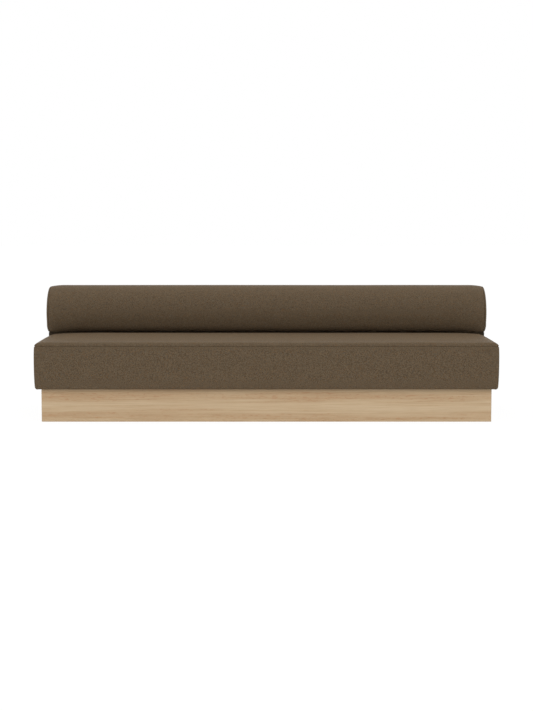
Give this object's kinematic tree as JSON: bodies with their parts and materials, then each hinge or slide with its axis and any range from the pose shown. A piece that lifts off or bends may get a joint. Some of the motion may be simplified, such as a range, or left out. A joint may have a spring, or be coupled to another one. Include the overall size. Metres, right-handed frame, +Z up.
{
  "type": "upholstered banquette bench",
  "caption": "Long upholstered bench with a boxed seat on a recessed oak plinth and a full-length round bolster along the back.",
  "frame": {"origin": "on the floor, under the middle of the bench", "axes": "+X along the bench to the sitter-facing viewer's right, -Y the side that the sitter faces, +Z up"},
  "size_m": [2.4204, 0.8056, 0.681],
  "materials": {
    "oak": "matt oiled oak, horizontal grain",
    "softwood": "planed",
    "beech": "planed",
    "plywood": "sanded",
    "nylon": "moulded",
    "zinc_steel": "zinc plated",
    "black_steel": "black powder coat",
    "webbing": "woven elastic",
    "foam": "open cell foam",
    "upholstery_cloth": "woven melange wool, matt",
    "dust_cloth": "black spun bonded cloth"
  },
  "bodies": {
    "root": {"plinth_board_front": "oak", "plinth_board_back": "oak", "plinth_board_left": "oak", "plinth_board_right": "oak", "plinth_mitre_splines": "beech", "plinth_glue_blocks": "softwood", "plinth_rib_left": "softwood", "plinth_rib_middle": "softwood", "plinth_rib_right": "softwood", "plinth_cleats_front": "softwood", "plinth_cleats_back": "softwood", "glides": "nylon", "plinth_fixing_screws": "zinc_steel", "seat_rail_front": "softwood", "seat_rail_back": "softwood", "seat_rail_left": "softwood", "seat_rail_right": "softwood", "seat_cross_rails": "softwood", "seat_frame_dowels": "beech", "seat_corner_blocks": "softwood", "webbing_front_to_back": "webbing", "webbing_lengthwise": "webbing", "seat_side_padding_front": "foam", "seat_cover_border_front": "upholstery_cloth", "seat_side_padding_back": "foam", "seat_cover_border_back": "upholstery_cloth", "seat_side_padding_left": "foam", "seat_cover_border_left": "upholstery_cloth", "seat_side_padding_right": "foam", "seat_cover_border_right": "upholstery_cloth", "seat_base_foam": "foam", "seat_topper": "foam", "seat_cover_top": "upholstery_cloth", "dust_cloth": "dust_cloth", "bolster_posts": "black_steel", "bearer_shelf_plates": "black_steel", "post_bolts": "zinc_steel", "post_nuts": "zinc_steel", "bearer_board": "plywood", "bearer_padding": "foam", "bearer_cover": "upholstery_cloth", "bolster_spine": "black_steel", "bolster_foam": "foam", "bolster_cover": "upholstery_cloth", "bolster_end_discs": "plywood", "bolster_end_pads": "foam", "bolster_cover_caps": "upholstery_cloth"}
  },
  "joints": []
}
